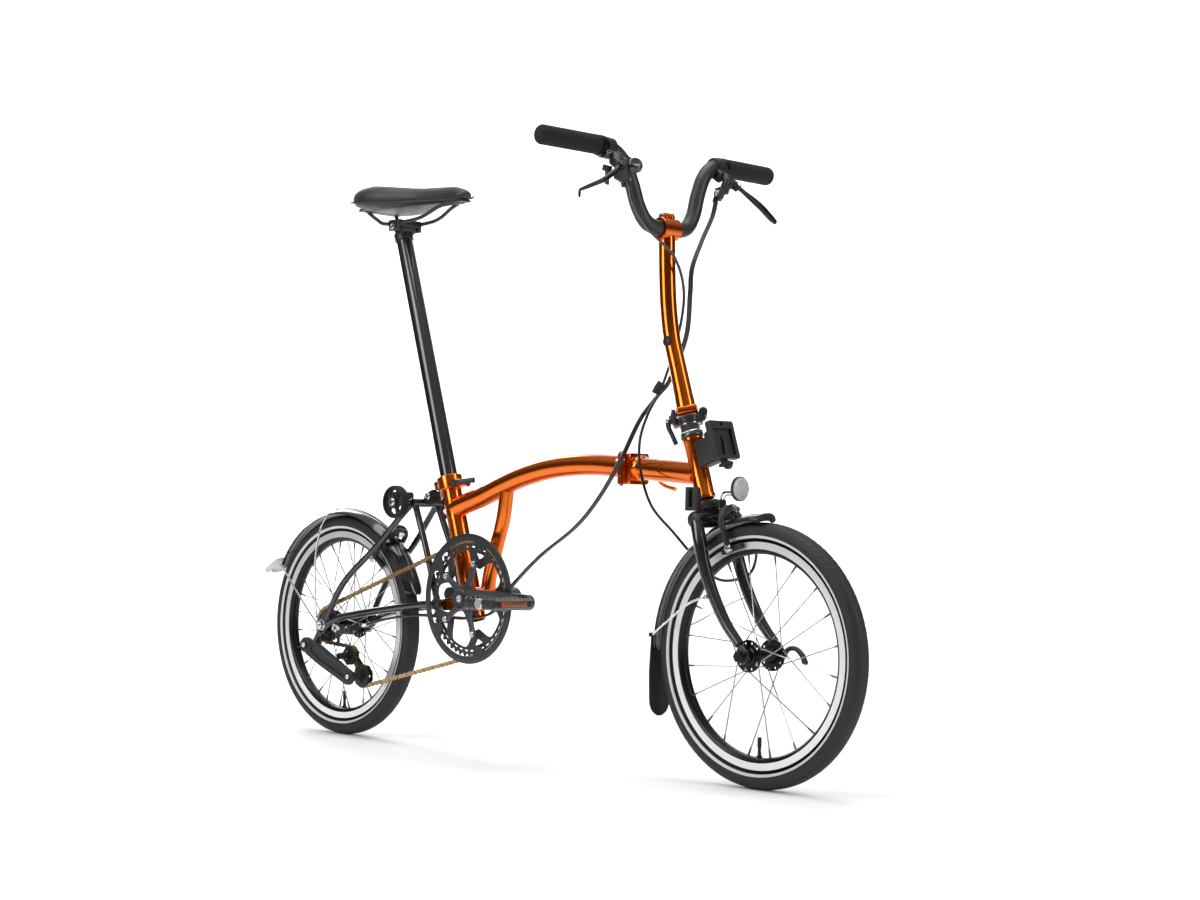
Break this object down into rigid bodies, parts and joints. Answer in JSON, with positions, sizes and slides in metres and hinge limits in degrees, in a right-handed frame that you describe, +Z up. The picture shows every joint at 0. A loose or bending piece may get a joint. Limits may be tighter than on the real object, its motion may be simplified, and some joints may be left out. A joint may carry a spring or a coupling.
{
  "type": "folding bicycle",
  "caption": "Small-wheeled folding bicycle with hinged main tube, folding stem and rear frame, mudguards, rim brakes, chain drive and sprung saddle post.",
  "frame": {"origin": "on the ground, below the middle of the whole bicycle", "axes": "+X forward, +Y to the rider's left, +Z up"},
  "size_m": [1.499, 0.5514, 1.0337],
  "materials": {
    "orange_lacquer": "glossy clear-coated orange lacquer",
    "black_enamel": "gloss black-grey enamel",
    "black_plastic": "satin moulded plastic",
    "black_alloy": "black anodised",
    "silver_alloy": "bright machined",
    "grey_crank": "satin forged grey",
    "chain_steel": "oiled bronze-toned steel",
    "tyre_rubber": "matt moulded rubber",
    "black_rubber": "soft matt rubber",
    "saddle_cover": "soft synthetic leather",
    "clear_reflector": "clear prismatic lens",
    "red_reflector": "red prismatic lens"
  },
  "bodies": {
    "main_frame": {"main_tube_rear": "orange_lacquer", "seat_tube": "orange_lacquer", "bottom_bracket": "orange_lacquer", "seat_clamp": "orange_lacquer", "main_hinge_pin": "silver_alloy", "chain": "chain_steel", "rear_cables": "black_plastic"},
    "seat": {"seat_post": "black_enamel", "saddle_rails": "black_enamel", "saddle": "saddle_cover"},
    "seat_clamp_lever": {"seat_clamp_lever": "black_plastic"},
    "front_frame": {"main_tube_front": "orange_lacquer", "head_tube": "orange_lacquer", "carrier_block": "black_plastic"},
    "main_hinge_clamp": {"main_hinge_clamp": "orange_lacquer"},
    "fork": {"fork": "black_enamel", "front_mudguard": "black_enamel", "front_axle": "black_alloy", "front_reflector": "clear_reflector", "handlebar_catch": "black_plastic"},
    "front_wheel": {"front_tyre": "tyre_rubber", "front_rim": "silver_alloy", "front_hub": "black_alloy"},
    "quick_release": {"front_quick_release": "black_alloy"},
    "front_brake_left_arm": {"front_brake_left_arm": "black_alloy"},
    "front_brake_right_arm": {"front_brake_right_arm": "black_alloy"},
    "stem": {"stem": "orange_lacquer", "handlebar": "black_enamel", "left_grip": "black_rubber", "right_grip": "black_rubber", "front_brake_cable": "black_plastic"},
    "stem_clamp": {"stem_clamp": "black_plastic"},
    "left_brake_lever": {"left_brake_lever": "black_alloy"},
    "right_brake_lever": {"right_brake_lever": "black_alloy"},
    "gear_trigger": {"gear_trigger": "black_plastic"},
    "rear_frame": {"rear_triangle": "black_enamel", "suspension_block": "black_rubber", "rear_mudguard": "black_enamel", "rear_reflector": "red_reflector", "rear_axle": "silver_alloy"},
    "rear_wheel": {"rear_tyre": "tyre_rubber", "rear_rim": "silver_alloy", "rear_hub": "black_alloy"},
    "sprockets": {"rear_sprockets": "chain_steel"},
    "left_roller": {"left_roller": "black_plastic"},
    "right_roller": {"right_roller": "black_plastic"},
    "tensioner": {"tensioner_arm": "black_plastic"},
    "lower_idler": {"lower_idler": "black_plastic"},
    "upper_idler": {"upper_idler": "black_plastic"},
    "chain_pusher": {"chain_pusher": "black_plastic"},
    "rear_brake_left_arm": {"rear_brake_left_arm": "black_alloy"},
    "rear_brake_right_arm": {"rear_brake_right_arm": "black_alloy"},
    "cranks": {"crank_spindle": "silver_alloy", "right_crank": "grey_crank", "left_crank": "grey_crank", "chainring": "black_alloy", "chain_guard": "black_alloy"},
    "right_pedal": {"right_pedal": "black_plastic"},
    "left_pedal_hinge": {"left_pedal_hinge": "silver_alloy"},
    "left_pedal": {"left_pedal": "black_plastic"}
  },
  "joints": [
    {"name": "seat_post_slide", "type": "slide", "parent": "main_frame", "child": "seat", "axis": [-0.3007, 0, 0.9537], "range_m": [-0.4, 0]},
    {"name": "seat_clamp_lever_swing", "type": "hinge", "parent": "main_frame", "child": "seat_clamp_lever", "pos_m": [-0.17585, 0, 0.477], "axis": [0, -1, 0], "range_deg": [0, 100]},
    {"name": "rear_frame_fold", "type": "hinge", "parent": "main_frame", "child": "rear_frame", "pos_m": [-0.199, 0, 0.258], "axis": [0, -1, 0], "range_deg": [0, 150], "deforming": ["chain", "rear_cables"]},
    {"name": "tensioner_swing", "type": "hinge", "parent": "rear_frame", "child": "tensioner", "pos_m": [-0.529, -0.072, 0.17], "axis": [0, 1, 0], "range_deg": [0, 85], "deforming": ["chain"]},
    {"name": "rear_wheel_spin", "type": "hinge", "parent": "rear_frame", "child": "rear_wheel", "pos_m": [-0.504, 0, 0.208], "axis": [0, 1, 0], "continuous": true},
    {"name": "sprocket_spin", "type": "hinge", "parent": "rear_frame", "child": "sprockets", "pos_m": [-0.504, -0.041, 0.208], "axis": [0, 1, 0], "continuous": true},
    {"name": "left_roller_spin", "type": "hinge", "parent": "rear_frame", "child": "left_roller", "pos_m": [-0.285, 0.062, 0.442], "axis": [0, 1, 0], "continuous": true},
    {"name": "right_roller_spin", "type": "hinge", "parent": "rear_frame", "child": "right_roller", "pos_m": [-0.285, -0.062, 0.442], "axis": [0, 1, 0], "continuous": true},
    {"name": "lower_idler_spin", "type": "hinge", "parent": "tensioner", "child": "lower_idler", "pos_m": [-0.396, -0.041, 0.118], "axis": [0, 1, 0], "continuous": true},
    {"name": "upper_idler_spin", "type": "hinge", "parent": "tensioner", "child": "upper_idler", "pos_m": [-0.434, -0.041, 0.154], "axis": [0, 1, 0], "continuous": true},
    {"name": "chain_pusher_slide", "type": "slide", "parent": "rear_frame", "child": "chain_pusher", "axis": [0, 1, 0], "range_m": [-0.005, 0]},
    {"name": "rear_brake_left_arm_swing", "type": "hinge", "parent": "rear_frame", "child": "rear_brake_left_arm", "pos_m": [-0.35629, 0, 0.39213], "axis": [-0.766, 0, 0.6428], "range_deg": [0, 1.3]},
    {"name": "rear_brake_right_arm_swing", "type": "hinge", "parent": "rear_frame", "child": "rear_brake_right_arm", "pos_m": [-0.34832, 0, 0.38544], "axis": [0.766, 0, -0.6428], "range_deg": [0, 1.3]},
    {"name": "crank_spin", "type": "hinge", "parent": "main_frame", "child": "cranks", "pos_m": [-0.1, 0, 0.273], "axis": [0, 1, 0], "continuous": true},
    {"name": "right_pedal_spin", "type": "hinge", "parent": "cranks", "child": "right_pedal", "pos_m": [0.07, -0.06, 0.273], "axis": [0, 1, 0], "continuous": true},
    {"name": "left_pedal_spin", "type": "hinge", "parent": "cranks", "child": "left_pedal_hinge", "pos_m": [-0.27, 0.06, 0.273], "axis": [0, 1, 0], "continuous": true},
    {"name": "left_pedal_fold", "type": "hinge", "parent": "left_pedal_hinge", "child": "left_pedal", "pos_m": [-0.27, 0.087, 0.259], "axis": [-1, 0, 0], "range_deg": [0, 90]},
    {"name": "main_hinge_fold", "type": "hinge", "parent": "main_frame", "child": "front_frame", "pos_m": [0.258, -0.028, 0.5005], "axis": [0, 0, -1], "range_deg": [0, 100], "deforming": ["front_brake_cable", "rear_cables"]},
    {"name": "main_hinge_clamp_swing", "type": "hinge", "parent": "main_frame", "child": "main_hinge_clamp", "pos_m": [0.258, 0.03, 0.5005], "axis": [0, 1, 0], "range_deg": [0, 180]},
    {"name": "steering", "type": "hinge", "parent": "front_frame", "child": "fork", "pos_m": [0.42821, 0, 0.43], "axis": [-0.3007, 0, 0.9537], "range_deg": [-60, 60], "deforming": ["front_brake_cable", "rear_cables"]},
    {"name": "front_wheel_spin", "type": "hinge", "parent": "fork", "child": "front_wheel", "pos_m": [0.541, 0, 0.208], "axis": [0, 1, 0], "continuous": true},
    {"name": "quick_release_swing", "type": "hinge", "parent": "fork", "child": "quick_release", "pos_m": [0.541, 0.057, 0.208], "axis": [0.3, 0, 0.9539], "range_deg": [0, 105]},
    {"name": "front_brake_left_arm_swing", "type": "hinge", "parent": "fork", "child": "front_brake_left_arm", "pos_m": [0.46703, 0, 0.43217], "axis": [-0.9563, 0, -0.2924], "range_deg": [0, 1.3]},
    {"name": "front_brake_right_arm_swing", "type": "hinge", "parent": "fork", "child": "front_brake_right_arm", "pos_m": [0.47697, 0, 0.43521], "axis": [0.9563, 0, 0.2924], "range_deg": [0, 1.3]},
    {"name": "stem_fold", "type": "hinge", "parent": "fork", "child": "stem", "pos_m": [0.3962, 0.01768, 0.59032], "axis": [-0.6744, 0.7071, -0.2126], "range_deg": [0, 155], "deforming": ["front_brake_cable", "rear_cables"]},
    {"name": "stem_clamp_swing", "type": "hinge", "parent": "fork", "child": "stem_clamp", "pos_m": [0.36451, -0.01556, 0.58032], "axis": [0.6744, 0.7071, 0.2126], "range_deg": [0, 180]},
    {"name": "left_brake_lever_squeeze", "type": "hinge", "parent": "stem", "child": "left_brake_lever", "pos_m": [0.356, 0.137, 0.978], "axis": [0.8175, 0.236, 0.5253], "range_deg": [0, 25], "stiffness_Nm_per_rad": 1.5},
    {"name": "right_brake_lever_squeeze", "type": "hinge", "parent": "stem", "child": "right_brake_lever", "pos_m": [0.356, -0.137, 0.978], "axis": [-0.8175, 0.236, -0.5253], "range_deg": [0, 25], "stiffness_Nm_per_rad": 1.5},
    {"name": "gear_trigger_push", "type": "hinge", "parent": "stem", "child": "gear_trigger", "pos_m": [0.318, -0.13, 0.979], "axis": [0.3162, 0, 0.9487], "range_deg": [0, 20], "stiffness_Nm_per_rad": 0.3}
  ],
  "couplings": [
    {"joint": "tensioner_swing", "follows": "rear_frame_fold", "ratio": 0.55},
    {"joint": "sprocket_spin", "follows": "crank_spin", "ratio": 3.0606},
    {"joint": "lower_idler_spin", "follows": "crank_spin", "ratio": 5.3158},
    {"joint": "upper_idler_spin", "follows": "crank_spin", "ratio": -6.3125},
    {"joint": "rear_brake_left_arm_swing", "follows": "left_brake_lever_squeeze", "ratio": 0.052},
    {"joint": "rear_brake_right_arm_swing", "follows": "left_brake_lever_squeeze", "ratio": 0.052},
    {"joint": "front_brake_left_arm_swing", "follows": "right_brake_lever_squeeze", "ratio": 0.052},
    {"joint": "front_brake_right_arm_swing", "follows": "right_brake_lever_squeeze", "ratio": 0.052}
  ]
}
